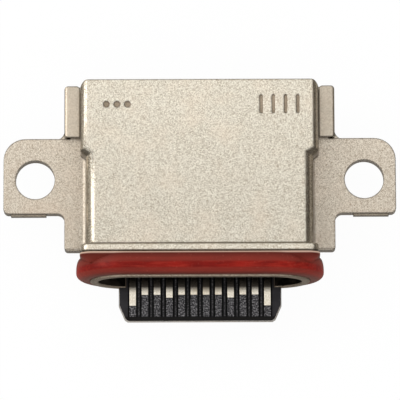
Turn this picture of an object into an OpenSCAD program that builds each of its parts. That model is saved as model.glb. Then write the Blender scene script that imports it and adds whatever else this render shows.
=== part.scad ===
// Screw-mounted charging receptacle with a sealed mouth and a 24-contact reversible tongue.
// Millimetres. X runs along the ear holes, Y into the port, Z up.
// The origin lies midway between the ear holes, on the board side of the ears.

/* [Mouth] */
// Width of the plug opening
opening_w = 8.34; // [8.2:0.02:8.5]
// Height of the plug opening, which has full round ends
opening_h = 2.56; // [2.46:0.02:2.66]
// Wall of the inner tube
tube_wall = 0.2; // [0.16:0.01:0.24]
// How far the rim stands out past the tube
rim_step = 0.13; // [0.08:0.01:0.2]
// Length of the rim
rim_len = 0.18; // [0.14:0.01:0.24]
// Rounding of the rim's front edges
rim_r = 0.06; // [0.02:0.01:0.07]
// Distance from the ear holes forward to the rim's front face
rim_ahead = 4.25; // [4.15:0.01:4.35]
// Distance from the ear holes to the tube's back end
tube_back = 0.6; // [0.45:0.01:0.7]
// Thickness of the backing flange behind the seal
backing_t = 0.14; // [0.1:0.01:0.2]
// How far the backing flange stands out past the tube
backing_step = 0.38; // [0.3:0.01:0.45]

/* [Seal] */
// Length of the seal ring along the tube
seal_len = 0.66; // [0.6:0.01:0.72]
// How far the seal ring stands out past the tube
seal_h = 0.7; // [0.55:0.01:0.8]
// Rounding of the seal ring's front edge
seal_front_r = 0.24; // [0.1:0.01:0.28]
// Rounding of the seal ring's back edge
seal_back_r = 0.2; // [0.1:0.01:0.28]
// Thickness of the seal's skirt round the backing flange
skirt_t = 0.14; // [0.08:0.01:0.18]
// Thickness of the seal's web on the front of the backing flange
web_t = 0.06; // [0.04:0.01:0.1]

/* [Shells] */
// Thickness of the shells' sheet
sheet = 0.25; // [0.22:0.01:0.28]
// Clearance between the tube and the shells
tube_fit = 0.01; // [0.005:0.005:0.03]
// How far the walls step out behind the mouth
step_out = 0.23; // [0.18:0.01:0.28]
// Distance from the ear holes back to the start of the step
step_at = 0.77; // [0.72:0.01:0.85]
// Length of the slanted step
step_len = 0.21; // [0.16:0.01:0.26]
// Rounding of the shells' outer edges
edge_r = 0.22; // [0.14:0.01:0.22]
// Rounding of the shells' inner edges
inner_r = 0.05; // [0.03:0.01:0.08]
// Fillet between the front walls and the flange
root_r = 0.2; // [0.1:0.01:0.24]
// Distance from the ear holes to the upper shell's back edge
cover_behind = 3.9; // [3.8:0.01:4]
// Rounding of the upper shell's back corners
back_r = 0.25; // [0.15:0.01:0.3]
// Distance from the ear holes to the back of the lower shell's pan
pan_behind = 1.5; // [1.45:0.01:1.6]
// Length of the turned-out front lip
lip_len = 0.35; // [0.3:0.01:0.4]
// How far the lip stands out past the walls
lip_step = 0.2; // [0.12:0.01:0.24]
// Corner rounding of the lip and the backing flange
lip_r = 0.35; // [0.25:0.01:0.45]

/* [Flanges and ears] */
// How far the flanges stand out past the rear walls
flange_out = 0.69; // [0.64:0.01:0.74]
// Distance from the ear holes forward to the flanges' front edge
flange_ahead = 2.97; // [2.95:0.01:3.05]
// Distance from the ear holes to the flanges' back edge
flange_behind = 3.87; // [3.75:0.01:3.9]
// Corner rounding of the flanges
flange_r = 0.15; // [0.1:0.01:0.25]
// Distance between the ear holes
hole_spacing = 13.5; // [13.3:0.05:13.8]
// Diameter of the ear holes
hole_d = 1.6; // [1.4:0.05:1.8]
// Distance from an ear hole to the ear's outer end
ear_end = 1.3; // [1.2:0.01:1.5]
// Distance from an ear hole to the ear's front edge
ear_ahead = 1.42; // [1.35:0.01:1.5]
// Distance from an ear hole to the ear's back edge
ear_behind = 1.71; // [1.65:0.01:1.72]
// Rounding of the ears' outer back corners
ear_back_r = 0.9; // [0.6:0.01:1]
// Rounding of the ears' outer front corners
ear_front_r = 0.22; // [0.1:0.01:0.4]
// Fillet between ears and flanges at the front
ear_root_front = 0.3; // [0.1:0.01:0.34]
// Fillet between lower ears and flange at the back
ear_root_back = 0.4; // [0.1:0.01:0.44]
// Width of the cut-off stub on each lower ear's front edge
stub_w = 1.45; // [1.2:0.05:1.6]
// How far the stub stands out
stub_len = 0.07; // [0.04:0.01:0.1]
// Distance outward from an ear hole to the middle of its stub
stub_out = 0.27; // [0.2:0.01:0.3]

/* [Folded tabs] */
// Distance from the ear holes to the tabs' front edge
tab_behind = 1.73; // [1.73:0.01:1.9]
// Width of the tabs
tab_w = 0.64; // [0.5:0.01:0.66]
// Outer rounding of the fold
fold_r = 0.12; // [0.06:0.01:0.24]
// Corner rounding of the tabs' free edge
tab_r = 0.15; // [0.08:0.01:0.25]

/* [Tongue] */
// How far the tongue reaches out in front of the rim
tongue_reach = 1.63; // [1.5:0.01:1.7]
// Width of the tongue across the mid plate
tongue_w = 6.65; // [6.6:0.01:6.75]
// Thickness of the tongue
tongue_t = 0.7; // [0.66:0.01:0.74]
// Thickness of the mid plate
plate_t = 0.15; // [0.1:0.01:0.18]
// How far the mid plate's edge stands out of the tongue's plastic
plate_proud = 0.04; // [0.02:0.01:0.06]
// Length of the bevel at the tongue's tip
nose_len = 0.11; // [0.06:0.01:0.14]
// Edge left at the tip above and below the mid plate
nose_edge = 0.06; // [0.03:0.01:0.1]
// Width cut off each tip corner
corner_w = 0.28; // [0.2:0.01:0.32]
// Length of the tip corners
corner_len = 0.64; // [0.5:0.01:0.8]
// Blunting of the tongue's tip corners
tip_cut = 0.08; // [0.04:0.01:0.12]
// Distance from the tip to the latch notches
notch_at = 1.42; // [1.38:0.01:1.46]
// Length of the latch notches
notch_len = 1.1; // [1:0.01:1.2]
// Depth of the latch notches
notch_d = 0.27; // [0.2:0.01:0.29]
// Distance from the tip to the wall at the bottom of the mouth
base_at = 4.43; // [4.35:0.01:4.5]
// Length of the thick root of the tongue
root_len = 0.85; // [0.7:0.01:0.95]
// Thickness of the root
root_t = 1.3; // [1.2:0.01:1.4]
// Width of the root
root_w = 6.4; // [6.2:0.01:6.6]
// Thickness of the ground plates on the root
ground_t = 0.1; // [0.08:0.01:0.14]
// Width of the ground plates
ground_w = 5.7; // [5:0.05:5.75]
// Height of the ground plates' turned-up edge above the root
ground_h = 0.5; // [0.35:0.01:0.55]

/* [Base] */
// Clearance round the insulators
base_fit = 0.02; // [0.01:0.005:0.04]
// Distance from the ear holes to the back of the upper insulator
block_behind = 3; // [2.9:0.01:3.05]
// Length of the sealant behind the upper insulator
sealant_len = 0.5; // [0.4:0.01:0.6]
// Width of the shelf under the upper contacts
shelf_w = 6.2; // [6.1:0.05:6.4]
// Height of the gap above the pan's back wall for the lower contacts
pan_gap = 0.6; // [0.5:0.01:0.7]

/* [Contacts] */
// Distance between neighbouring contacts
pitch = 0.5; // [0.48:0.005:0.51]
// Width of a contact on the tongue
contact_w = 0.27; // [0.24:0.005:0.28]
// Width of a contact's tail
tail_w = 0.2; // [0.16:0.01:0.22]
// Thickness of a contact
contact_t = 0.12; // [0.1:0.01:0.14]
// How far a contact stands above the tongue
contact_proud = 0.02; // [0.01:0.005:0.03]
// Clearance between a contact and the plastic round it
contact_fit = 0.005; // [0.003:0.001:0.01]
// Distance from the tip to the outermost contacts
outer_tip = 0.62; // [0.55:0.01:0.7]
// Distance from the tip to the power contacts
power_tip = 0.95; // [0.9:0.01:1]
// Distance from the tip to the other contacts
signal_tip = 1.07; // [1.02:0.01:1.15]
// Width of the groove beside each contact
groove_w = 0.05; // [0.03:0.005:0.06]
// Depth of the groove
groove_d = 0.08; // [0.05:0.005:0.1]
// Distance from the tip to the start of the grooves
groove_at = 0.17; // [0.15:0.01:0.25]
// Length of the contacts' sloped bend down to the board
bend_len = 0.4; // [0.3:0.01:0.45]
// Length of the upper contacts' tails on the board
upper_tail = 0.5; // [0.4:0.01:0.6]
// Length of the lower contacts' tails on the board
lower_tail = 0.8; // [0.6:0.01:0.9]
// Gap between the pan's back wall and the lower contacts' bend
tail_gap = 0.1; // [0.08:0.01:0.15]
// Width of the mid plate's two tails
plate_tail_w = 0.5; // [0.4:0.01:0.55]
// Gap between the outermost contacts and the mid plate's tails
plate_tail_gap = 0.45; // [0.4:0.01:0.5]

/* [Hidden] */
$fn = 64;
past = 1;
reach = 20;
contacts = 12;
power_contacts = [4, 9];

mid_z = sheet;
flat_half = (opening_w - opening_h) / 2;
tube_r = opening_h / 2 + tube_wall;
rim_y = -rim_ahead;
seal_y = rim_y + rim_len;
backing_y = seal_y + seal_len;
lip_y = backing_y + backing_t;

inner_half = opening_w / 2 + tube_wall + tube_fit;
inner_h = opening_h / 2 + tube_wall + tube_fit;
wall_half = inner_half + sheet;
wall_h = inner_h + sheet;
rear_half = wall_half + step_out;
rear_inner = inner_half + step_out;
slant = atan2(step_out, step_len);
inner_shift = sheet * tan(slant / 2);
flange_half = rear_half + flange_out;
tab_slot = flange_half - sheet;

tip_y = rim_y - tongue_reach;
base_y = tip_y + base_at;
root_y = base_y - root_len;
pan_inner = pan_behind - sheet;
block_half = inner_half - base_fit;
block_h = inner_h - base_fit;
groove_pitch = contact_w + groove_w;

upper_z = mid_z + tongue_t / 2 + contact_proud - contact_t;
lower_z = mid_z - tongue_t / 2 - contact_proud;
upper_bend = block_behind + sealant_len / 2;
lower_bend = pan_behind + tail_gap;
plate_tail_x = (contacts - 1) / 2 * pitch + contact_w / 2 + plate_tail_gap + plate_tail_w / 2;
shelf_z = contact_t;

steel = "#d6cdb8";
flat_steel = "#c4b9a5";
rubber = "#8a1f17";
plastic = "#222224";
plating = "#dfd2b8";
resin = "#3a3430";

// A flat outline in X and Z, drawn out along Y
module along_y(from, to) {
    translate([0, to, 0]) rotate([90, 0, 0]) linear_extrude(to - from) children();
}

// A flat outline in X and Y, drawn out along Z
module along_z(from, to) {
    translate([0, 0, from]) linear_extrude(to - from) children();
}

// A flat outline in Y and Z, drawn out along X about its middle
module along_x(width) {
    rotate([90, 0, 90]) linear_extrude(width, center = true) children();
}

module both_sides() {
    children();
    mirror([1, 0, 0]) children();
}

// Fills the inside corner at the origin, on the side of +X and +Y
module inside_fillet(r) {
    difference() {
        square(r);
        translate([r, r]) circle(r);
    }
}

// Takes the tip off an outside corner at the origin whose body lies on the side of -X and -Y
module outside_cut(r) {
    difference() {
        translate([-r, -r]) square(2 * r);
        translate([-r, -r]) circle(r);
    }
}

module racetrack(w, h) {
    square([w - h, h], center = true);
    both_sides() translate([(w - h) / 2, 0]) circle(h / 2);
}

// Sweeps a section, given as distance from the end arcs' axis and depth, round the mouth
module round_the_mouth() {
    both_sides() translate([flat_half, 0, 0]) rotate([-90, 0, 0]) rotate([0, 0, -90])
        rotate_extrude(angle = 180) children();
    for (side = [0, 1])
        mirror([0, 0, side]) rotate([0, -90, 0]) linear_extrude(2 * flat_half, center = true) children();
}

// Half of a shell's section above the seam, with rounded upper edges
module half_section(half, h, r) {
    translate([-half, 0]) square([2 * half, h - r]);
    translate([r - half, 0]) square([2 * (half - r), h]);
    both_sides() translate([half - r, h - r]) circle(r);
}

// One rounded wall with its outer face at X = 0 and its body far to -X
module wall_section(h, r) {
    translate([-reach, 0]) square([reach, h - r]);
    translate([-reach, 0]) square([reach - r, h]);
    translate([-r, h - r]) circle(r);
}

// A half box that steps out behind the mouth, with slanted walls at the step
module stepped_box(half, h, r, shift, from, to) {
    along_y(from, to) half_section(half, h, r);
    intersection() {
        along_y(step_at + shift, to) half_section(half + step_out, h, r);
        slanted_wall(half, h, r, shift);
        mirror([1, 0, 0]) slanted_wall(half, h, r, shift);
    }
}

module slanted_wall(half, h, r, shift) {
    translate([half, step_at + shift, 0]) rotate([0, 0, -slant]) along_y(-reach, reach) wall_section(h, r);
}

// Outline of the ears and flanges, which are narrower beside the folded tabs
module flange_outline() {
    difference() {
        union() {
            translate([-flange_half, -flange_ahead]) square([2 * flange_half, flange_ahead + ear_behind]);
            translate([-tab_slot, 0]) square([2 * tab_slot, flange_behind]);
            both_sides() ear_outline();
        }
        both_sides() translate([flange_half, -flange_ahead]) mirror([0, 1]) outside_cut(flange_r);
        both_sides() translate([hole_spacing / 2, 0]) circle(d = hole_d);
    }
}

module ear_outline() {
    ear_x = hole_spacing / 2 + ear_end;
    difference() {
        translate([0, -ear_ahead]) square([ear_x, ear_ahead + ear_behind]);
        translate([ear_x, ear_behind]) outside_cut(ear_back_r);
        translate([ear_x, -ear_ahead]) mirror([0, 1]) outside_cut(ear_front_r);
    }
    translate([flange_half, -ear_ahead]) mirror([0, 1]) inside_fillet(ear_root_front);
}

// What both shells share, built upwards from the seam
module shell_body(back) {
    stepped_box(wall_half, wall_h, edge_r, 0, lip_y, back);
    along_y(lip_y, lip_y + lip_len) half_section(wall_half + lip_step, wall_h + lip_step, lip_r);
    along_z(0, sheet) flange_outline();
}

// The space inside a shell, which keeps the sheet's thickness all round
module shell_hollow(back) {
    stepped_box(inner_half, inner_h, inner_r, inner_shift, lip_y - past, back);
}

module cover_shell() {
    color(steel) translate([0, 0, mid_z]) difference() {
        union() {
            shell_body(cover_behind);
            both_sides() translate([wall_half, 0, sheet]) along_y(lip_y, step_at + step_len) inside_fillet(root_r);
        }
        shell_hollow(cover_behind + past);
        both_sides() translate([rear_half, cover_behind, 0]) along_z(sheet, wall_h + past) outside_cut(back_r);
    }
}

module lower_shell() {
    color(flat_steel) {
        translate([0, 0, mid_z]) mirror([0, 0, 1]) difference() {
            union() {
                shell_body(pan_behind);
                along_z(0, sheet) both_sides() lower_ear_edges();
            }
            shell_hollow(pan_inner);
            translate([-rear_inner, pan_behind, -past]) cube([2 * rear_inner, flange_behind, past + sheet + past]);
            translate([-block_half, pan_inner - past, -past]) cube([2 * block_half, 3 * past, past + pan_gap]);
        }
        both_sides() folded_tab();
    }
}

module lower_ear_edges() {
    translate([flange_half, ear_behind]) inside_fillet(ear_root_back);
    translate([tab_slot, 0]) square([flange_half - tab_slot, ear_behind + ear_root_back]);
    translate([hole_spacing / 2 + stub_out - stub_w / 2, -ear_ahead - stub_len]) square([stub_w, 2 * stub_len]);
}

// A tab of the lower flange, folded up and over the upper flange
module folded_tab() {
    intersection() {
        along_y(tab_behind, flange_behind) fold_section();
        along_z(0, reach) tab_outline();
    }
}

module fold_section() {
    top = 3 * sheet;
    difference() {
        translate([flange_half - tab_w, 0]) square([tab_w, top]);
        translate([flange_half - tab_w - past, sheet]) square([tab_w - sheet + past, sheet]);
        translate([flange_half, top]) outside_cut(fold_r);
        translate([flange_half, 0]) mirror([0, 1]) outside_cut(fold_r);
    }
}

module tab_outline() {
    difference() {
        translate([flange_half - tab_w, tab_behind]) square([tab_w, flange_behind - tab_behind]);
        translate([flange_half, flange_behind]) outside_cut(tab_r);
        translate([flange_half, tab_behind]) mirror([0, 1]) outside_cut(tab_r);
        translate([flange_half - tab_w, flange_behind]) mirror([1, 0]) outside_cut(tab_r);
    }
}

module inner_shell() {
    color(steel) translate([0, 0, mid_z]) {
        round_the_mouth() tube_section();
        along_y(backing_y, lip_y) difference() {
            backing_outline(0);
            racetrack(opening_w + tube_wall, opening_h + tube_wall);
        }
    }
}

// Wall of the tube with its rim at the mouth
module tube_section() {
    difference() {
        union() {
            translate([opening_h / 2, rim_y]) square([tube_wall, rim_ahead + tube_back]);
            translate([opening_h / 2, rim_y]) square([tube_wall + rim_step, rim_len]);
        }
        translate([tube_r + rim_step, rim_y]) mirror([0, 1]) outside_cut(rim_r);
        translate([opening_h / 2, rim_y]) mirror([1, 0]) mirror([0, 1]) outside_cut(rim_r);
    }
}

// Outline of the backing flange, or of a skirt round it
module backing_outline(skirt) {
    half = opening_w / 2 + tube_wall + backing_step + skirt;
    h = tube_r + backing_step + skirt;
    half_section(half, h, lip_r + skirt);
    mirror([0, 1]) half_section(half, h, lip_r + skirt);
}

module seal_ring() {
    color(rubber) translate([0, 0, mid_z]) {
        round_the_mouth() seal_section();
        along_y(backing_y, lip_y) difference() {
            backing_outline(skirt_t);
            backing_outline(0);
        }
        along_y(backing_y - web_t, backing_y) difference() {
            backing_outline(skirt_t);
            racetrack(2 * (flat_half + tube_r), 2 * tube_r);
        }
    }
}

module seal_section() {
    difference() {
        translate([tube_r, seal_y]) square([seal_h, seal_len]);
        translate([tube_r + seal_h, seal_y]) mirror([0, 1]) outside_cut(seal_front_r);
        translate([tube_r + seal_h, seal_y + seal_len]) outside_cut(seal_back_r);
    }
}

// Plan of the tongue, with cut tip corners and latch notches, set in from the mid plate's edge
module tongue_outline(set) {
    half = tongue_w / 2 - set;
    right = [
        [half - corner_w - tip_cut, tip_y + set],
        [half - corner_w * (1 - tip_cut / corner_len), tip_y + set + tip_cut],
        [half, tip_y + set + corner_len],
        [half, tip_y + notch_at - set],
        [half - notch_d, tip_y + notch_at - set],
        [half - notch_d, tip_y + notch_at + notch_len + set],
        [half, tip_y + notch_at + notch_len + set],
        [half, base_y]
    ];
    last = len(right) - 1;
    left = [for (i = [last : -1 : 0]) [-right[i].x, right[i].y]];
    polygon(concat(right, left));
}

// Side view of the tongue's upper half, measured from the mid plane
module nose_section() {
    h = tongue_t / 2;
    front = tip_y + plate_proud;
    polygon([[front, 0], [base_y, 0], [base_y, h], [front + nose_len, h], [front, plate_t / 2 + nose_edge]]);
}

// Half of the tongue and the part of the base inside the tube, built upwards from the mid plane
module insulator_half() {
    intersection() {
        along_z(0, tongue_t) tongue_outline(plate_proud);
        along_x(reach) nose_section();
    }
    translate([-root_w / 2, root_y, 0]) cube([root_w, root_len, root_t / 2]);
    intersection() {
        along_y(base_y, tube_back) racetrack(opening_w - 2 * base_fit, opening_h - 2 * base_fit);
        translate([-reach / 2, base_y, 0]) cube([reach, reach, reach]);
    }
}

// The part of an insulator behind the tube, which fills the shell to its walls
module insulator_block(back) {
    stepped_box(block_half, block_h, inner_r, inner_shift + base_fit, tube_back, back);
}

// Grooves on both sides of every contact, cut into the tongue's face
module grooves() {
    from = tip_y + groove_at;
    for (i = [1 : contacts], side = [-1, 1])
        translate([contact_x(i) + side * groove_pitch / 2 - groove_w / 2, from, tongue_t / 2 - groove_d])
            cube([groove_w, root_y - from, tongue_t]);
}

module upper_insulator() {
    color(plastic) difference() {
        translate([0, 0, mid_z]) {
            difference() {
                insulator_half();
                grooves();
            }
            insulator_block(block_behind);
        }
        mid_plate_solid();
        for (i = [1 : contacts]) upper_contact_solid(i, contact_fit);
    }
}

module lower_insulator() {
    color(plastic) difference() {
        union() {
            translate([0, 0, mid_z]) mirror([0, 0, 1]) {
                difference() {
                    insulator_half();
                    grooves();
                }
                insulator_block(pan_inner);
            }
            translate([-shelf_w / 2, tube_back, shelf_z])
                cube([shelf_w, block_behind - tube_back, mid_z - shelf_z]);
        }
        mid_plate_solid();
        for (i = [1 : contacts]) lower_contact_solid(i, contact_fit);
    }
}

// A strip of sheet that runs level, slopes to another level and runs on, seen from the side
module bent_strip(from, bend, to, z_from, z_to, t) {
    polygon([
        [from, z_from],
        [bend, z_from],
        [bend + bend_len, z_to],
        [to, z_to],
        [to, z_to + t],
        [bend + bend_len, z_to + t],
        [bend, z_from + t],
        [from, z_from + t]
    ]);
}

module mid_plate_solid() {
    along_z(mid_z - plate_t / 2, mid_z + plate_t / 2) {
        tongue_outline(0);
        translate([-plate_tail_x - plate_tail_w / 2, base_y])
            square([2 * plate_tail_x + plate_tail_w, tube_back - base_y]);
    }
    both_sides() translate([plate_tail_x, 0, 0]) along_x(plate_tail_w)
        bent_strip(base_y, lower_bend, lower_bend + bend_len + lower_tail, mid_z - plate_t / 2, 0, plate_t);
}

module mid_plate() {
    color(flat_steel) mid_plate_solid();
}

// Plate on the root of the tongue, turned up against the wall at the bottom of the mouth
module ground_plate() {
    z = root_t / 2;
    along_x(ground_w) {
        translate([root_y, z]) square([root_len, ground_t]);
        translate([base_y - ground_t, z]) square([ground_t, ground_h]);
    }
}

module upper_ground_plate() {
    color(steel) translate([0, 0, mid_z]) ground_plate();
}

module lower_ground_plate() {
    color(steel) translate([0, 0, mid_z]) mirror([0, 0, 1]) ground_plate();
}

module rear_sealant() {
    color(resin) difference() {
        translate([0, 0, mid_z]) along_y(block_behind, block_behind + sealant_len) {
            translate([-rear_inner, 0]) square([2 * rear_inner, inner_h - inner_r]);
            translate([inner_r - rear_inner, 0]) square([2 * (rear_inner - inner_r), inner_h]);
        }
        for (i = [1 : contacts]) upper_contact_solid(i, contact_fit);
    }
}

function contact_x(i) = (i - (contacts + 1) / 2) * pitch;

function contact_tip(i) =
    i == 1 || i == contacts ? outer_tip :
    i == power_contacts[0] || i == power_contacts[1] ? power_tip :
    signal_tip;

// One contact, a wide strip on the tongue and a narrow one to its tail, grown by a clearance
module contact_solid(i, z, bend, tail, fit) {
    from = tip_y + contact_tip(i) - fit;
    t = contact_t + 2 * fit;
    translate([contact_x(i), 0, -fit]) {
        translate([-contact_w / 2 - fit, from, z]) cube([contact_w + 2 * fit, root_y + fit - from, t]);
        along_x(tail_w + 2 * fit) bent_strip(from, bend, bend + bend_len + tail, z, 0, t);
    }
}

module upper_contact_solid(i, fit) {
    contact_solid(i, upper_z, upper_bend, upper_tail, fit);
}

module lower_contact_solid(i, fit) {
    contact_solid(i, lower_z, lower_bend, lower_tail, fit);
}

module upper_contact(i) {
    color(plating) upper_contact_solid(i, 0);
}

module lower_contact(i) {
    color(plating) lower_contact_solid(i, 0);
}

inner_shell();
cover_shell();
lower_shell();
seal_ring();
upper_insulator();
lower_insulator();
mid_plate();
upper_ground_plate();
lower_ground_plate();
rear_sealant();
for (i = [1 : contacts])
    upper_contact(i);
for (i = [1 : contacts])
    lower_contact(i);
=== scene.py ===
import math

import bmesh
import bpy
from mathutils import Matrix, Vector


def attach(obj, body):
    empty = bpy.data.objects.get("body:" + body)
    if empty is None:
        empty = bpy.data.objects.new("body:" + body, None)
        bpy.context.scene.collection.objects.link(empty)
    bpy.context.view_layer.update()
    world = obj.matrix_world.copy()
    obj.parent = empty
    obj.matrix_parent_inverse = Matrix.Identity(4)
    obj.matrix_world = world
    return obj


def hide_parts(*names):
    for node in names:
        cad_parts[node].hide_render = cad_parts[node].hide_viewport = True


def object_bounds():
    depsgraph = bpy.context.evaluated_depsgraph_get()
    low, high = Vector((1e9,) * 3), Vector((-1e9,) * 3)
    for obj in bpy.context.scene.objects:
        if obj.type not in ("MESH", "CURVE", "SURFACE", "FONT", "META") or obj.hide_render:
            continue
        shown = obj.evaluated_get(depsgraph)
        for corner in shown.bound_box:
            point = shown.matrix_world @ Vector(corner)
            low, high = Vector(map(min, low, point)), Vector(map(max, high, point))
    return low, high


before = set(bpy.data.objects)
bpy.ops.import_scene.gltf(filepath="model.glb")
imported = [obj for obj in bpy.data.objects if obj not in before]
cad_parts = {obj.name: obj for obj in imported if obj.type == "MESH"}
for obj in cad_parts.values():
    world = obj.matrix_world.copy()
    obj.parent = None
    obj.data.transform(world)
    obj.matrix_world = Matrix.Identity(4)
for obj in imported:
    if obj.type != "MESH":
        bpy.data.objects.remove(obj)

cadLow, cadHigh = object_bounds()
mm = 0.001
white = (1, 1, 1, 1)
# the middle of the mouth, in mm
midHeight = 0.25
# limits for joining up the triangles of a CAD mesh
weldReach = 0.0005 * mm
flatTurn = math.radians(0.4)
print("frame loaded", len(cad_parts), "nodes")


def tint(red, green, blue):
    # screen colour to the linear values that a shader takes
    linear = [c / 255 / 12.92 if c < 11 else ((c / 255 + 0.055) / 1.055) ** 2.4 for c in (red, green, blue)]
    return (*linear, 1)


# shader helpers: every node is made by addNode, which also fills its sockets


def newMaterial(name):
    made = bpy.data.materials.new(name)
    made.use_nodes = True
    tree = made.node_tree
    return made, tree, tree.nodes["Principled BSDF"]


def addNode(tree, kind, inputs=None, **settings):
    made = tree.nodes.new(kind)
    for key, value in settings.items():
        setattr(made, key, value)
    fill(tree, made, inputs or {})
    return made


def fill(tree, node, inputs):
    for key, value in inputs.items():
        if isinstance(value, bpy.types.NodeSocket):
            tree.links.new(value, node.inputs[key])
        else:
            node.inputs[key].default_value = value


def objectPlace(tree):
    return addNode(tree, "ShaderNodeTexCoord").outputs["Object"]


def noise(tree, place, size, detail, rough, stretch=None):
    # size is the width of one grain in metres
    if stretch:
        place = addNode(tree, "ShaderNodeMapping", {"Vector": place, "Scale": stretch}).outputs["Vector"]
    made = addNode(tree, "ShaderNodeTexNoise", {
        "Vector": place, "Scale": 1 / size, "Detail": detail, "Roughness": rough})
    return made.outputs["Fac"]


def span(tree, value, lowIn, highIn, lowOut, highOut):
    made = addNode(tree, "ShaderNodeMapRange", {
        "Value": value, "From Min": lowIn, "From Max": highIn, "To Min": lowOut, "To Max": highOut})
    return made.outputs["Result"]


def mixColour(tree, factor, first, second, blend="MIX"):
    inputs = {0: factor, 6: first, 7: second}
    return addNode(tree, "ShaderNodeMix", inputs, data_type="RGBA", blend_type=blend).outputs[2]


def maths(tree, operation, first, second=None):
    inputs = {0: first} if second is None else {0: first, 1: second}
    return addNode(tree, "ShaderNodeMath", inputs, operation=operation).outputs[0]


def times(tree, first, second):
    return maths(tree, "MULTIPLY", first, second)


def shaded(tree, colour, light):
    # the colour times one plain number
    grey = addNode(tree, "ShaderNodeCombineColor", {0: light, 1: light, 2: light}).outputs[0]
    return mixColour(tree, 1.0, colour, grey, "MULTIPLY")


def dip(tree, value, centre, core, reach, depth):
    # lowest at the centre and back to one at the reach
    away = maths(tree, "ABSOLUTE", maths(tree, "SUBTRACT", value, centre))
    return span(tree, away, core, reach, depth, 1)


def axisValue(tree, place, axis):
    return addNode(tree, "ShaderNodeSeparateXYZ", {0: place}).outputs[axis]


def bump(tree, height, depth, under):
    made = addNode(tree, "ShaderNodeBump", {
        "Height": height, "Distance": depth, "Strength": 1.0, "Normal": under})
    return made.outputs["Normal"]


def softEdge(tree, radius):
    # normals turned over within this distance of an edge
    return addNode(tree, "ShaderNodeBevel", {"Radius": radius}, samples=6).outputs["Normal"]


def crevice(tree, reach):
    return addNode(tree, "ShaderNodeAmbientOcclusion", {"Distance": reach}, samples=6).outputs["AO"]


# mesh helpers


def newObject(name, mesh):
    made = bpy.data.objects.new(name, mesh)
    bpy.context.scene.collection.objects.link(made)
    return made


def plainMesh(obj):
    # the shape that the modifiers give becomes the object's own mesh
    bpy.context.view_layer.update()
    depsgraph = bpy.context.evaluated_depsgraph_get()
    shape = bpy.data.meshes.new_from_object(obj.evaluated_get(depsgraph), depsgraph=depsgraph)
    obj.modifiers.clear()
    obj.data = shape
    return obj


def cadCopy(node):
    # a merged copy of a CAD node, with flat faces joined up
    shape = bmesh.new()
    shape.from_mesh(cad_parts[node].data)
    bmesh.ops.remove_doubles(shape, verts=shape.verts, dist=weldReach)
    bmesh.ops.dissolve_limit(shape, angle_limit=flatTurn, verts=shape.verts, edges=shape.edges)
    return shape


def toObject(name, shape):
    mesh = bpy.data.meshes.new(name)
    shape.to_mesh(mesh)
    shape.free()
    mesh.shade_smooth()
    return newObject(name, mesh)


def roundEdges(obj, width=0, segments=3, rule=None, turn=40):
    # rule gives an edge's share of the width, from the places of its two ends; other edges stay sharp
    shape = bmesh.new()
    shape.from_mesh(obj.data)
    share = shape.edges.layers.float.new("bevel_weight_edge")
    for edge in shape.edges:
        if len(edge.link_faces) == 2 and edge.calc_face_angle(0) > math.radians(turn):
            edge[share] = rule(edge.verts[0].co / mm, edge.verts[1].co / mm) if rule else 1
            edge.smooth = width * edge[share] > 0
    shape.to_mesh(obj.data)
    shape.free()
    if width:
        edges = obj.modifiers.new("edges", "BEVEL")
        edges.width = width
        edges.segments = segments
        edges.limit_method = "WEIGHT"
        edges.use_clamp_overlap = False
    flats = obj.modifiers.new("flats", "WEIGHTED_NORMAL")
    flats.weight = 100
    flats.keep_sharp = True
    return plainMesh(obj)


def paintPiece(obj, material, second=None, chooses=None):
    # faces for which chooses(centre, normal) holds get the second material
    obj.data.materials.clear()
    obj.data.materials.append(material)
    if second:
        obj.data.materials.append(second)
        for face in obj.data.polygons:
            face.material_index = int(chooses(face.center / mm, face.normal))


def finishPiece(obj, slotName, *nodes):
    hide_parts(*nodes)
    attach(obj, "root")


# node tree helpers


def newTree(name, inputs):
    tree = bpy.data.node_groups.new(name, "GeometryNodeTree")
    tree.interface.new_socket(name="Geometry", in_out="INPUT", socket_type="NodeSocketGeometry")
    for label, kind in inputs.items():
        tree.interface.new_socket(name=label, in_out="INPUT", socket_type="NodeSocket" + kind)
    tree.interface.new_socket(name="Geometry", in_out="OUTPUT", socket_type="NodeSocketGeometry")
    return tree, tree.nodes.new("NodeGroupInput").outputs, tree.nodes.new("NodeGroupOutput").inputs


def grow(obj, tree, values):
    made = obj.modifiers.new(tree.name, "NODES")
    made.node_group = tree
    for item in tree.interface.items_tree:
        if item.in_out == "INPUT" and item.name in values:
            made[item.identifier] = values[item.name]
    return plainMesh(obj)


# where plated sheet changes its look, and where painted shade and highlight fall: stretches along the port,
# or a centre, a core and a reach
sheetPlace = {
    "shadeFade": (-2 * mm, 3.5 * mm), "lip": (-2.97 * mm, -2.9 * mm), "lipFace": (-3.265 * mm, -3.245 * mm),
    "rootShadeLine": (-2.895 * mm, 0.015 * mm, 0.05 * mm), "edgeShadeLine": (-3.21 * mm, 0.015 * mm, 0.05 * mm),
    "mouth": (-4.73 * mm, -4.47 * mm), "mouthEnd": (-2 * mm, 0), "haze": (0.62 * mm, 0.09 * mm, 0.16 * mm)}
sheetRange = {
    "blotch": (0.45, 0.75), "level": (0.35, 0.93), "ahead": (-0.65, -0.15), "turned": (0.78, 0.985),
    "crevice": (0.25, 0.8), "burnish": (0.75, 0.985), "sheen": (0.3, 0.7)}
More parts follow.
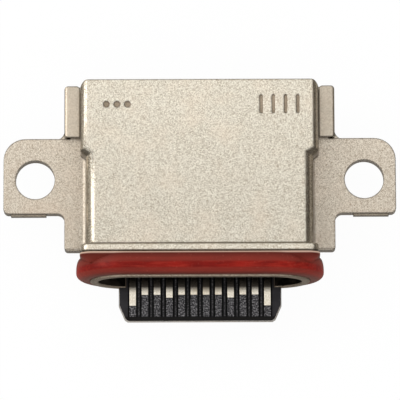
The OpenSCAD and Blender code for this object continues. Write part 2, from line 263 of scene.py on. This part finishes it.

# blasted nickel of the cover: fine sparkle, faint blotches, rubbed edges, painted shade and a painted lip
# highlight
coverLook = {
    "tone": tint(249, 243, 227), "shade": tint(172, 157, 136), "pits": 0.75, "grain": 0.025 * mm,
    "grainDepth": 0.003 * mm, "warm": tint(248, 228, 205), "warmth": 0.3, "blotch": 1.4 * mm,
    "earShade": (0.87, 0.83, 0.81, 1), "earLow": 0.62 * mm, "earHigh": 0.95 * mm,
    "frontShade": 0.86, "lipLight": 1.08, "lipShadeLines": (0.6, 0.4),
    "uprightShade": 0.45, "aheadShade": 0.42, "edgeShade": 0.12, "soft": 0.11 * mm,
    "paintedShade": tint(96, 80, 64), "shadeReach": 0.16 * mm, "shadeAmount": 0.75, "mouthShadow": 0,
    "metal": 1.0, "rootHaze": 0.35, "roughness": 0.33, "roughSpread": (-0.05, 0.06), "burnish": 0.45}


def nickel(name, look):
    made, tree, shader = newMaterial(name)
    place = objectPlace(tree)
    along = axisValue(tree, place, 1)
    cells = addNode(tree, "ShaderNodeTexVoronoi", {
        "Vector": place, "Scale": 1 / look["grain"]}, feature="F1")
    grain = axisValue(tree, cells.outputs["Color"], 0)
    blotch = noise(tree, place, look["blotch"], detail=3.0, rough=0.55)
    warmth = span(tree, blotch, *sheetRange["blotch"], 0, look["warmth"])
    colour = mixColour(tree, span(tree, grain, 0, look["pits"], 0, 1), look["shade"], look["tone"])
    colour = mixColour(tree, warmth, colour, look["warm"])
    # painted shade: the ears and flange, lower down, are darker
    if look["earShade"]:
        height = span(tree, axisValue(tree, place, 2), look["earLow"], look["earHigh"], 0, 1)
        ears = mixColour(tree, height, look["earShade"], white)
        colour = mixColour(tree, 1.0, colour, ears, "MULTIPLY")
    # painted shade towards the front; a painted highlight on the cover's lip, painted shade ahead of that
    # place on the tube
    light = times(tree, span(tree, along, *sheetPlace["shadeFade"], look["frontShade"], 1),
                  span(tree, along, *sheetPlace["lip"], look["lipLight"], 1))
    uprightShade, aheadShade, edgeShading = look["uprightShade"], look["aheadShade"], look["edgeShade"]
    if look["lipShadeLines"]:
        # painted shade lines at the root of the turned-out lip and behind its front edge; the lip's front
        # face gets no painted edge shade
        rootDepth, edgeDepth = look["lipShadeLines"]
        light = times(tree, light, dip(tree, along, *sheetPlace["rootShadeLine"], rootDepth))
        light = times(tree, light, dip(tree, along, *sheetPlace["edgeShadeLine"], edgeDepth))
        uprightShade, aheadShade, edgeShading = [
            span(tree, along, *sheetPlace["lipFace"], 1, amount) for amount in (uprightShade, aheadShade, edgeShading)]
    # painted shade: faces that stand up or look ahead are darker, and so is the band within reach of an edge
    facing = softEdge(tree, look["soft"])
    level = maths(tree, "ABSOLUTE", axisValue(tree, facing, 2))
    light = times(tree, light, span(tree, level, *sheetRange["level"], uprightShade, 1))
    light = times(tree, light, span(tree, axisValue(tree, facing, 1), *sheetRange["ahead"], aheadShade, 1))
    flat = addNode(tree, "ShaderNodeNewGeometry").outputs["True Normal"]
    turned = addNode(tree, "ShaderNodeVectorMath", {0: facing, 1: flat}, operation="DOT_PRODUCT")
    light = times(tree, light, span(tree, turned.outputs["Value"], *sheetRange["turned"], edgeShading, 1))
    colour = shaded(tree, colour, light)
    # painted shade in crevices, from ambient occlusion
    paintedShade = span(tree, crevice(tree, look["shadeReach"]), *sheetRange["crevice"], look["shadeAmount"], 0)
    colour = mixColour(tree, paintedShade, colour, look["paintedShade"])
    if look["mouthShadow"]:
        # painted shadow where it goes into the mouth, none again at the board tails
        mouth = times(tree, span(tree, along, *sheetPlace["mouth"], 0, look["mouthShadow"]),
                      span(tree, along, *sheetPlace["mouthEnd"], 1, 0))
        colour = mixColour(tree, mouth, colour, look["paintedShade"])
    low, high = look["roughSpread"]
    rough = span(tree, blotch, *sheetRange["sheen"], look["roughness"] + low, look["roughness"] + high)
    if look["burnish"]:
        # the drawn edges are rubbed smoother than the flats
        rough = times(tree, rough, span(tree, level, *sheetRange["burnish"], look["burnish"], 1))
    metal = look["metal"]
    if look["rootHaze"]:
        # a dull haze in the root of the walls, just above the flange
        metal = dip(tree, axisValue(tree, place, 2), *sheetPlace["haze"], look["rootHaze"])
    fill(tree, shader, {
        "Base Color": colour, "Metallic": metal, "Roughness": rough,
        "Normal": bump(tree, grain, look["grainDepth"], facing)})
    return made


panLook = dict(
    coverLook, pits=1.0, rootHaze=0, frontShade=1.0, tone=tint(212, 201, 184), shade=tint(190, 178, 160),
    grain=0.045 * mm, grainDepth=0.002 * mm, roughness=0.4, earShade=None, shadeReach=0.07 * mm)
# the floors of the stamped marks are painted darker, as shade in the recesses
stampShadeLook = dict(
    coverLook, pits=1.0, rootHaze=0, burnish=0, tone=tint(166, 152, 132), shade=tint(130, 116, 99),
    shadeReach=0.09 * mm, roughness=0.45)
# the tube is painted darker ahead of the lip's place, as shade on the rim
tubeLook = dict(
    coverLook, pits=1.0, rootHaze=0, burnish=0, frontShade=1.0, lipLight=0.68, lipShadeLines=None, earShade=None,
    soft=0.03 * mm, aheadShade=0.9, edgeShade=0.45, tone=tint(244, 226, 204), shade=tint(176, 160, 140),
    grain=0.04 * mm, grainDepth=0.006 * mm, metal=0.6, roughness=0.5)
# the bore is painted dark, as the shade inside the tube
insideShadeLook = dict(tubeLook, metal=0.9, tone=tint(48, 43, 37), shade=tint(36, 32, 28))
# the plates are painted dark where they go into the mouth, as its shadow
plateLook = dict(
    tubeLook, lipLight=1.0, metal=0.9, tone=tint(214, 210, 205), shade=tint(186, 182, 177), uprightShade=1.0,
    mouthShadow=0.92, shadeReach=0.02 * mm)
# the contacts are painted dark where they go into the mouth, and darkened far out from open space, as shadow
contactLook = dict(
    coverLook, pits=1.0, rootHaze=0, burnish=0, frontShade=1.0, lipLight=1.0, lipShadeLines=None, earShade=None,
    aheadShade=1.0, edgeShade=1.0, soft=0.01 * mm, tone=tint(240, 234, 220), shade=tint(218, 208, 190),
    warm=tint(222, 200, 164), grain=0.03 * mm, grainDepth=0.001 * mm, roughness=0.24,
    mouthShadow=0.95, shadeReach=0.7 * mm, paintedShade=tint(28, 22, 17))
coverNickel = nickel("coverNickel", coverLook)
panNickel = nickel("panNickel", panLook)
tubeNickel = nickel("tubeNickel", tubeLook)
tubeInsideShade = nickel("tubeInsideShade", insideShadeLook)
stampShadeNickel = nickel("stampShadeNickel", stampShadeLook)
plateSteel = nickel("plateSteel", plateLook)
contactPlating = nickel("contactPlating", contactLook)

satinRange = {
    "mottle": (0.35, 0.65), "wipedDark": (0.3, 0.48), "wipedLight": (0.5, 0.68), "crevice": (0.35, 0.95),
    "dust": 0.16, "sheen": (0.3, 0.7)}


def rubbedStrips(tree, place, strip):
    # rubbed strips ahead of the contacts, with painted shade in the slots between them and on the nose
    across = axisValue(tree, place, 0)
    inner = span(tree, maths(tree, "ABSOLUTE", across), *strip["sides"], 0, 1)
    turn = maths(tree, "FRACT", maths(tree, "DIVIDE", across, strip["pitch"]))
    away = maths(tree, "ABSOLUTE", maths(tree, "SUBTRACT", turn, 0.5))
    rubbed = span(tree, away, *strip["rubbed"], 1, 0)
    rib = span(tree, away, *strip["rib"], 0, strip["ribAmount"])
    worn = maths(tree, "MAXIMUM", rubbed, rib)
    nose = span(tree, axisValue(tree, place, 1), *strip["nose"], 0, 1)
    dusty = times(tree, times(tree, worn, inner), nose)
    unshaded = times(tree, nose, maths(tree, "MAXIMUM", worn, span(tree, inner, 0, 1, 1, 0)))
    return dusty, span(tree, unshaded, 0, 1, strip["slotShade"], 1)


def satin(name, look):
    # moulded plastic, rubber and resin: colour by broad mottling, sheen by fine skin
    made, tree, shader = newMaterial(name)
    place = objectPlace(tree)
    along = axisValue(tree, place, 1)
    skin = noise(tree, place, look["skin"], detail=3.0, rough=0.6)
    mottle = noise(tree, place, look["mottle"], detail=2.0, rough=0.5)
    colour = mixColour(tree, span(tree, mottle, *satinRange["mottle"], 0, 1), look["tone"], look["shade"])
    wipe = look["wipe"]
    if wipe:
        # faint streaks of wiping along the ring
        wiped = noise(tree, place, wipe["size"], detail=3.0, rough=0.6, stretch=wipe["stretch"])
        dark = span(tree, wiped, *satinRange["wipedDark"], wipe["darkAmount"], 0)
        light = span(tree, wiped, *satinRange["wipedLight"], 0, wipe["lightAmount"])
        colour = mixColour(tree, light, mixColour(tree, dark, colour, wipe["dark"]), wipe["light"])
    # bands of painted light and shade along the port
    for start, full, amount, tone in look["paintedLightBands"]:
        colour = mixColour(tree, span(tree, along, start * mm, full * mm, 0, amount), colour, tone)
    shadow = span(tree, crevice(tree, look["shadowReach"]), *satinRange["crevice"], look["shadow"], 1)
    dust = span(tree, skin, look["dustFrom"], look["dustFrom"] + satinRange["dust"], 0, look["speck"])
    # the strips' slots and nose take painted shade
    if look["strip"]:
        dusty, slotShadow = rubbedStrips(tree, place, look["strip"])
        dust = times(tree, dust, dusty)
        shadow = times(tree, shadow, slotShadow)
    colour = shaded(tree, mixColour(tree, dust, colour, look["dust"]), shadow)
    low, high = look["roughSpread"]
    rough = span(tree, skin, *satinRange["sheen"], look["roughness"] + low, look["roughness"] + high)
    fill(tree, shader, {
        "Base Color": colour, "Specular IOR Level": look["gloss"], "Roughness": rough,
        "Normal": bump(tree, skin, look["skinDepth"], softEdge(tree, look["soft"]))})
    return made


# bands of painted light and shade run from a start to a full place in mm along the port, with an amount and
# a tone
rubberLook = {
    "tone": tint(136, 22, 12), "shade": tint(110, 15, 8), "dust": tint(158, 84, 70), "speck": 0.3,
    "dustFrom": 0.6, "strip": None, "shadowReach": 0.1 * mm, "shadow": 0.9,
    "paintedLightBands": [
        # painted sheen on the back and front slopes, painted shade near the lip and towards the rim, a
        # painted highlight line at the back
        (-3.76, -3.66, 0.75, tint(116, 46, 36)), (-3.93, -4.0, 0.6, tint(116, 46, 36)),
        (-3.58, -3.4, 0.7, tint(72, 24, 16)), (-4.09, -4.175, 0.6, tint(60, 34, 27)),
        (-3.36, -3.3, 0.85, tint(214, 184, 164))],
    "wipe": {
        "size": 0.11 * mm, "stretch": (0.12, 1, 1), "dark": tint(86, 10, 6), "darkAmount": 0.5,
        "light": tint(176, 62, 46), "lightAmount": 0.22},
    "skin": 0.09 * mm, "mottle": 1.2 * mm, "skinDepth": 0.0012 * mm, "roughness": 0.4,
    "roughSpread": (-0.06, 0.08), "gloss": 0.1, "soft": 0.02 * mm}
plasticLook = {
    "tone": tint(46, 45, 47), "shade": tint(38, 37, 39), "dust": tint(154, 152, 154), "speck": 0.75,
    "dustFrom": 0.48, "shadowReach": 0.5 * mm, "shadow": 0.1, "wipe": None,
    "strip": {
        "pitch": 0.5 * mm, "sides": (2.97 * mm, 2.92 * mm), "rubbed": (0.27, 0.3), "rib": (0.42, 0.46),
        "ribAmount": 0.6, "nose": (-5.72 * mm, -5.69 * mm), "slotShade": 0.2},
    # painted shadow towards the mouth
    "paintedLightBands": [(-4.75, -4.4, 0.7, tint(14, 12, 11))],
    "skin": 0.06 * mm, "mottle": 0.6 * mm, "skinDepth": 0.006 * mm, "roughness": 0.5,
    "roughSpread": (-0.06, 0.08), "gloss": 0.1, "soft": 0.01 * mm}
resinLook = dict(
    plasticLook, tone=tint(46, 40, 36), shade=tint(36, 31, 28), speck=0.1, strip=None, paintedLightBands=[],
    roughness=0.3, gloss=0.5)
sealRubber = satin("sealRubber", rubberLook)
tonguePlastic = satin("tonguePlastic", plasticLook)
sealantResin = satin("sealantResin", resinLook)
print("materials made")

# drawn cover: wider long edges, a rolled front lip and plain stamped marks; places without a unit are in mm
cover = {
    "top": 1.99, "plainRadius": 0.22, "rearCorner": 3.85, "cornerRadius": 0.25, "edgeFlat": 0.6,
    "edgeStart": -2.93, "edgeSlack": 0.002, "edgeTouch": 0.001, "stepMiddle": 0.92, "stepReach": 0.12,
    "frontSide": {"wall": 4.63, "step": 0.77, "radius": 0.36},
    "rearSide": {"wall": 4.86, "step": 0.98, "radius": 0.26},
    "lipEdge": 0.1 * mm, "lipSegments": 4, "lipFront": -3.27, "lipBack": -2.92, "lipAbove": 0.75,
    "lipSlack": 0.003, "rootShare": 0.9,
    "markDepth": 0.03, "markLid": 0.2, "markRow": 2.86, "markAhead": 2, "markSlack": 0.004, "markUp": 0.7,
    "bars": {"count": 4, "start": 2.52, "pitch": 0.5, "width": 0.14, "height": 0.78},
    "pips": {"count": 3, "start": -3.8, "pitch": 0.43, "width": 0.27, "height": 0}}


def easeSideEdges(shape):
    # the long edges of the top take the sheet's own draw radius, wider ahead of the step in the walls
    plainRadius, flat, slack = cover["plainRadius"], cover["edgeFlat"], cover["edgeSlack"]
    for vert in shape.verts:
        x, y, z = vert.co / mm
        side = cover["frontSide"] if y < cover["stepMiddle"] else cover["rearSide"]
        inset, drop = side["wall"] - abs(x), cover["top"] - z
        reach = cover["cornerRadius"] if y > cover["rearCorner"] else plainRadius
        inEdge = -slack < inset < reach + slack and -slack < drop < plainRadius + slack
        if y > cover["edgeStart"] and inEdge:
            turn = math.atan2(plainRadius - drop, plainRadius - inset)
            share = 2 * turn / math.pi
            across = side["radius"] * ((1 - flat) * (1 - math.cos(turn)) + flat * share)
            down = max(0, side["radius"] * ((1 - flat) * (1 - math.sin(turn)) + flat * (1 - share)))
            fromStep = y - side["step"]
            if inset > cover["edgeTouch"] and abs(fromStep) < cover["stepReach"]:
                y = side["step"] + fromStep * across / inset
            vert.co = Vector((math.copysign(side["wall"] - across, x), y, cover["top"] - down)) * mm
    return shape


def capsulePrism(shape, x, y, width, height, low, high, count=10):
    # an upright prism with round ends, count steps to each
    ring = []
    half = max(height - width, 0) / 2
    for end, start in ((half, 0), (-half, math.pi)):
        for step in range(count + 1):
            angle = start + math.pi * step / count
            ring.append((x + width / 2 * math.cos(angle), y + end + width / 2 * math.sin(angle)))
    if half == 0:
        ring = ring[:count] + ring[count + 1:-1]
    lower = [shape.verts.new((*p, low)) for p in ring]
    upper = [shape.verts.new((*p, high)) for p in ring]
    shape.faces.new(lower[::-1])
    shape.faces.new(upper)
    for i in range(len(ring)):
        j = (i + 1) % len(ring)
        shape.faces.new((lower[i], lower[j], upper[j], upper[i]))


def stampMarks(obj):
    shape = bmesh.new()
    low, high = (cover["top"] - cover["markDepth"]) * mm, (cover["top"] + cover["markLid"]) * mm
    for mark in (cover["bars"], cover["pips"]):
        for i in range(mark["count"]):
            x, y = (mark["start"] + mark["pitch"] * i) * mm, cover["markRow"] * mm
            capsulePrism(shape, x, y, mark["width"] * mm, mark["height"] * mm, low, high)
    cutter = toObject("stampCutter", shape)
    cut = obj.modifiers.new("marks", "BOOLEAN")
    cut.object = cutter
    cut.operation = "DIFFERENCE"
    cut.solver = "EXACT"
    plainMesh(obj)
    bpy.data.objects.remove(cutter)
    return obj


def stampFloor(centre, normal):
    above = centre.z - (cover["top"] - cover["markDepth"])
    level = abs(above) < cover["markSlack"] and normal.z > cover["markUp"]
    return level and centre.y > cover["markAhead"]


def lipRule(first, second):
    # the root of the rolled lip, then its front edge
    def bothAt(y):
        return all(p.z > cover["lipAbove"] and abs(p.y - y) < cover["lipSlack"] for p in (first, second))

    if bothAt(cover["lipBack"]):
        return cover["rootShare"]
    return 1 if bothAt(cover["lipFront"]) else 0


def lowerLipRule(first, second):
    # the pan's lip is the cover's lip turned over at the seam
    return lipRule(*[Vector((p.x, p.y, 2 * midHeight - p.z)) for p in (first, second)])


coverPiece = stampMarks(toObject("coverPiece", easeSideEdges(cadCopy("cover_shell"))))
roundEdges(coverPiece, cover["lipEdge"], cover["lipSegments"], lipRule)
paintPiece(coverPiece, coverNickel, stampShadeNickel, stampFloor)
finishPiece(coverPiece, "cover_nickel", "cover_shell")
panPiece = toObject("panPiece", cadCopy("lower_shell"))
roundEdges(panPiece, cover["lipEdge"], cover["lipSegments"], lowerLipRule)
paintPiece(panPiece, panNickel)
finishPiece(panPiece, "pan_nickel", "lower_shell")
print("shells made")

# a ring swept along the racetrack round the mouth
ringWeld = 0.0004 * mm
ringTree, ringIn, ringOut = newTree("ringSweep", {
    "Path Width": "Float", "Path Height": "Float", "Corner Radius": "Float", "Corner Points": "Int",
    "Section": "Object", "Material": "Material"})
oval = addNode(ringTree, "GeometryNodeCurvePrimitiveQuadrilateral", {
    "Width": ringIn["Path Width"], "Height": ringIn["Path Height"]}, mode="RECTANGLE")
rounded = addNode(ringTree, "GeometryNodeFilletCurve", {
    "Curve": oval.outputs[0], "Count": ringIn["Corner Points"],
    "Radius": ringIn["Corner Radius"]}, mode="POLY")
sectionInfo = addNode(ringTree, "GeometryNodeObjectInfo", {"Object": ringIn["Section"]})
sectionCurve = addNode(ringTree, "GeometryNodeMeshToCurve", {"Mesh": sectionInfo.outputs["Geometry"]})
swept = addNode(ringTree, "GeometryNodeCurveToMesh", {
    "Curve": rounded.outputs[0], "Profile Curve": sectionCurve.outputs[0]})
upright = addNode(ringTree, "GeometryNodeTransform", {
    "Geometry": swept.outputs[0], "Rotation": (math.pi / 2, 0, 0), "Translation": (0, 0, midHeight * mm)})
joined = addNode(ringTree, "GeometryNodeMergeByDistance", {
    "Geometry": upright.outputs[0], "Distance": ringWeld})
whole = addNode(ringTree, "GeometryNodeRealizeInstances", {"Geometry": joined.outputs[0]})
painted = addNode(ringTree, "GeometryNodeSetMaterial", {
    "Geometry": whole.outputs[0], "Material": ringIn["Material"]})
ringTree.links.new(painted.outputs[0], ringOut[0])


def sectionObject(points):
    # points are (depth, step out from the path) pairs in mm, laid out for the sweep
    shape = bmesh.new()
    verts = [shape.verts.new((out * mm, y * mm, 0)) for y, out in points]
    for i in range(len(verts)):
        shape.edges.new((verts[i], verts[(i + 1) % len(verts)]))
    return toObject("section", shape)


def sweepRing(name, points, path, cornerPoints, material):
    section = sectionObject(points)
    ring = newObject(name, bpy.data.meshes.new(name))
    width, height, radius = path
    grow(ring, ringTree, {
        "Path Width": width * mm, "Path Height": height * mm, "Corner Radius": radius * mm,
        "Corner Points": cornerPoints, "Section": section, "Material": material})
    bpy.data.objects.remove(section)
    ring.data.shade_smooth()
    return ring


def joinPieces(first, second):
    # one mesh out of two, in the first one's object
    shape = bmesh.new()
    for obj in (first, second):
        shape.from_mesh(obj.data)
    shape.to_mesh(first.data)
    shape.free()
    bpy.data.objects.remove(second)


def arcPoints(centre, reach, start, end, count, power=2):
    # a round stretch of a section between two angles; a power over 2 makes it fuller than an ellipse
    points = []
    for step in range(count + 1):
        angle = math.radians(start + (end - start) * step / count)
        along, out = [math.copysign(abs(v) ** (2 / power), v) for v in (math.cos(angle), math.sin(angle))]
        points.append((centre[0] + reach[0] * along, centre[1] + reach[1] * out))
    return points


def bendPoints(start, corner, end, count):
    # a curve that leaves the start towards the corner and comes to the end from there
    start, corner, end = Vector(start), Vector(corner), Vector(end)
    shares = [step / count for step in range(count + 1)]
    return [start.lerp(corner, share).lerp(corner.lerp(end, share), share) for share in shares]


# seal: a barrel-shaped ring on the tube that reaches over the rim, and a skirt that wraps the backing flange
seal = {
    "path": (8.74, 2.96, 1.4799), "cornerPoints": 40,
    "seat": [(-3.41, 0), (-3.41, 0.385), (-3.285, 0.385)],
    "shoulder": {
        "centre": (-3.79, 0.53), "reach": (0.505, 0.17), "start": 0, "end": 90, "count": 8, "power": 2.1},
    "nose": {
        "centre": (-3.86, 0.22), "reach": (0.322, 0.48), "start": 90, "end": 180, "count": 8, "power": 2.2},
    "noseEdge": {"centre": (-4.16, 0.22), "reach": (0.022, 0.086), "start": 180, "end": 270, "count": 2},
    "rimStep": [(-4.07, 0.134), (-4.07, 0)],
    "skirtPath": (9.5, 3.72, 0.35), "skirtBack": [(-3.27, 0)],
    "skirtEdge": {"centre": (-3.3, 0.11), "reach": (0.03, 0.03), "start": 0, "end": 90, "count": 3},
    "skirtBend": {"start": (-3.36, 0.14), "corner": (-3.45, 0.14), "end": (-3.71, -0.34), "count": 7},
    "skirtRoot": [(-3.41, -0.34)]}
sealFront = arcPoints(**seal["nose"]) + arcPoints(**seal["noseEdge"])[1:]
sealSection = seal["seat"] + arcPoints(**seal["shoulder"]) + sealFront + seal["rimStep"]
skirtTop = arcPoints(**seal["skirtEdge"]) + bendPoints(**seal["skirtBend"])
skirtSection = seal["skirtBack"] + skirtTop + seal["skirtRoot"]
sealPiece = sweepRing("sealPiece", sealSection, seal["path"], seal["cornerPoints"], sealRubber)
sealSkirt = sweepRing("sealSkirt", skirtSection, seal["skirtPath"], seal["cornerPoints"], sealRubber)
joinPieces(sealPiece, sealSkirt)
paintPiece(sealPiece, sealRubber)
finishPiece(sealPiece, "seal_rubber", "seal_ring")

# tube: its bore behind the rim is painted dark, as shade
tube = {"flatHalf": 2.89, "rimBack": -4.18, "inward": 0.4}


def insideTube(centre, normal):
    half = tube["flatHalf"]
    axis = Vector((min(max(centre.x, -half), half), centre.y, midHeight))
    return centre.y > tube["rimBack"] and (axis - centre).normalized().dot(normal) > tube["inward"]


tubePiece = roundEdges(toObject("tubePiece", cadCopy("inner_shell")))
paintPiece(tubePiece, tubeNickel, tubeInsideShade, insideTube)
finishPiece(tubePiece, "tube_nickel", "inner_shell")

# tongue with its plates, and the potting behind it
for node in ("upper_insulator", "lower_insulator"):
    half = roundEdges(toObject(node + "Piece", cadCopy(node)))
    paintPiece(half, tonguePlastic)
    finishPiece(half, "tongue_plastic", node)
for node in ("mid_plate", "upper_ground_plate", "lower_ground_plate"):
    plate = roundEdges(toObject(node + "Piece", cadCopy(node)))
    paintPiece(plate, plateSteel)
    finishPiece(plate, "plate_steel", node)
sealantPiece = roundEdges(toObject("sealantPiece", cadCopy("rear_sealant")))
paintPiece(sealantPiece, sealantResin)
finishPiece(sealantPiece, "sealant_resin", "rear_sealant")
print("tongue made")

# a row of contacts; the outer and power ones reach further forward
rowTree, rowIn, rowOut = newTree("contactRow", {
    "Contact": "Object", "Front Limit": "Float", "Material": "Material"})
contactInfo = addNode(rowTree, "GeometryNodeObjectInfo", {"Object": rowIn["Contact"]})
placed = addNode(rowTree, "GeometryNodeInstanceOnPoints", {
    "Points": rowIn["Geometry"], "Instance": contactInfo.outputs["Geometry"]})
real = addNode(rowTree, "GeometryNodeRealizeInstances", {"Geometry": placed.outputs[0]})
spot = addNode(rowTree, "GeometryNodeInputPosition")
spotParts = addNode(rowTree, "ShaderNodeSeparateXYZ", {0: spot.outputs[0]})
ahead = addNode(rowTree, "FunctionNodeCompare", {
    0: spotParts.outputs[1], 1: rowIn["Front Limit"]}, operation="LESS_THAN")
reach = addNode(rowTree, "GeometryNodeInputNamedAttribute", {"Name": "reach"}, data_type="FLOAT")
forward = addNode(rowTree, "ShaderNodeCombineXYZ", {1: reach.outputs[0]})
moved = addNode(rowTree, "GeometryNodeSetPosition", {
    "Geometry": real.outputs[0], "Selection": ahead.outputs[0], "Offset": forward.outputs[0]})
plated = addNode(rowTree, "GeometryNodeSetMaterial", {
    "Geometry": moved.outputs[0], "Material": rowIn["Material"]})
rowTree.links.new(plated.outputs[0], rowOut[0])

contact = {
    "pitch": 0.5, "count": 12, "sample": 2, "edge": 0.014 * mm, "frontLimit": -4.6 * mm,
    "longer": {0: -0.45, 3: -0.12, 8: -0.12, 11: -0.45}}
for side in ("upper", "lower"):
    shape = cadCopy(f"{side}_contact_{contact['sample']}")
    offset = (contact["sample"] - (contact["count"] + 1) / 2) * contact["pitch"] * mm
    bmesh.ops.translate(shape, verts=shape.verts, vec=(-offset, 0, 0))
    single = roundEdges(toObject("singleContact", shape), contact["edge"])
    seats = bpy.data.meshes.new("seats")
    places = [(i - (contact["count"] - 1) / 2) * contact["pitch"] * mm for i in range(contact["count"])]
    seats.from_pydata([(x, 0, 0) for x in places], [], [])
    lengths = seats.attributes.new("reach", "FLOAT", "POINT")
    for i in range(contact["count"]):
        lengths.data[i].value = mm * contact["longer"].get(i, 0)
    row = newObject(side + "Contacts", seats)
    grow(row, rowTree, {"Contact": single, "Front Limit": contact["frontLimit"], "Material": contactPlating})
    bpy.data.objects.remove(single)
    finishPiece(row, "contact_plating", *[f"{side}_contact_{i + 1}" for i in range(contact["count"])])
print("contacts made")

# stage: pale floor, even white surround, a warm key from the left and toned cards that only reflections see
stage = {
    "floorTone": (0.9, 0.9, 0.9, 1), "floorSize": 3.0, "floorDrop": 0.01 * mm, "cardDrop": 0.006 * mm,
    "roughness": 0.9, "whiten": 0.96}
cards = {
    "rightCard": {
        "place": (0.11, 0, 0.03), "facing": (-1, 0, 0), "size": (0.6, 0.12), "tone": (0.06, 0.05, 0.04)},
    "frontCard": {
        "place": (0, -0.12, 0.015), "facing": (0, 1, 0), "size": (0.6, 0.09), "tone": (0.5, 0.47, 0.43)},
    "rearCard": {
        "place": (0, 0.12, 0.015), "facing": (0, -1, 0), "size": (0.6, 0.09), "tone": (0.55, 0.53, 0.5)},
    "leftCard": {
        "place": (-0.16, 0, 0.01), "facing": (1, 0, 0), "size": (0.6, 0.06), "tone": (0.5, 0.46, 0.41)},
    "floorCard": {
        "place": (0, 0, cadLow.z - stage["cardDrop"]), "facing": (0, 0, 1), "size": (0.3, 0.3),
        "tone": (0.46, 0.42, 0.37)}}
keyLamp = {
    "place": (-0.2, 0.05, 0.14), "aim": (0, 0, 0), "size": 0.16, "power": 0.2, "colour": (1, 0.98, 0.95)}


def flatMesh(name, width, height, z):
    made = bpy.data.meshes.new(name)
    x, y = width / 2, height / 2
    made.from_pydata([(-x, -y, z), (x, -y, z), (x, y, z), (-x, y, z)], [], [(0, 1, 2, 3)])
    return made


floorMesh = flatMesh("floor", stage["floorSize"], stage["floorSize"], cadLow.z - stage["floorDrop"])
floor = newObject("floor", floorMesh)
floorPaint, floorTree, floorShader = newMaterial("floorPaint")
fill(floorTree, floorShader, {
    "Base Color": stage["floorTone"], "Roughness": stage["roughness"], "Specular IOR Level": 0.0})
path = addNode(floorTree, "ShaderNodeLightPath").outputs
ray = path["Is Camera Ray"]
for kind in ("Is Glossy Ray", "Is Transmission Ray"):
    ray = maths(floorTree, "MAXIMUM", ray, path[kind])
glow = addNode(floorTree, "ShaderNodeEmission", {"Color": white, "Strength": 1.0})
blend = addNode(floorTree, "ShaderNodeMixShader", {
    0: times(floorTree, ray, stage["whiten"]), 1: floorShader.outputs[0], 2: glow.outputs[0]})
floorTree.links.new(blend.outputs[0], floorTree.nodes["Material Output"].inputs["Surface"])
floorMesh.materials.append(floorPaint)

world = bpy.data.worlds.new("studio")
bpy.context.scene.world = world
world.use_nodes = True
fill(world.node_tree, world.node_tree.nodes["Background"], {"Color": white, "Strength": 1.0})


def card(name, place, facing, size, tone):
    panel = newObject(name, flatMesh(name, *size, 0))
    turn = Vector(facing).to_track_quat("Z", "Y")
    panel.matrix_world = Matrix.Translation(place) @ turn.to_matrix().to_4x4()
    paint, tree, shader = newMaterial(name + "Paint")
    tree.nodes.remove(shader)
    shine = addNode(tree, "ShaderNodeEmission", {"Color": (*tone, 1), "Strength": 1.0})
    tree.links.new(shine.outputs[0], tree.nodes["Material Output"].inputs["Surface"])
    panel.data.materials.append(paint)
    for ray in ("camera", "diffuse", "transmission", "volume_scatter", "shadow"):
        setattr(panel, "visible_" + ray, False)


for name, settings in cards.items():
    card(name, **settings)

lampData = bpy.data.lights.new("keyLamp", "AREA")
lampData.shape = "SQUARE"
lampData.size = keyLamp["size"]
lampData.energy = keyLamp["power"]
lampData.color = keyLamp["colour"]
lamp = newObject("keyLamp", lampData)
lamp.location = keyLamp["place"]
lamp.rotation_mode = "QUATERNION"
lamp.rotation_quaternion = (Vector(keyLamp["aim"]) - lamp.location).to_track_quat("-Z", "Y")

# camera: above and a little ahead of the mouth, as in the photograph
camera = {
    "aim": Vector((0.01 * mm, -0.81 * mm, 0.25 * mm)), "tilt": math.radians(10.4), "roll": math.radians(0.2),
    "away": 0.2, "field": 16.42 * mm, "sensor": 36, "near": 0.01, "far": 5}
lens = bpy.data.cameras.new("camera")
lens.sensor_width = camera["sensor"]
lens.lens = camera["sensor"] * camera["away"] / camera["field"]
lens.clip_start = camera["near"]
lens.clip_end = camera["far"]
eye = newObject("camera", lens)
tilt = camera["tilt"]
eye.location = camera["aim"] + camera["away"] * Vector((0, -math.sin(tilt), math.cos(tilt)))
eye.rotation_euler = (Matrix.Rotation(tilt, 3, "X") @ Matrix.Rotation(-camera["roll"], 3, "Z")).to_euler()
bpy.context.scene.camera = eye
bpy.context.scene.view_settings.view_transform = "Standard"
print("stage made")
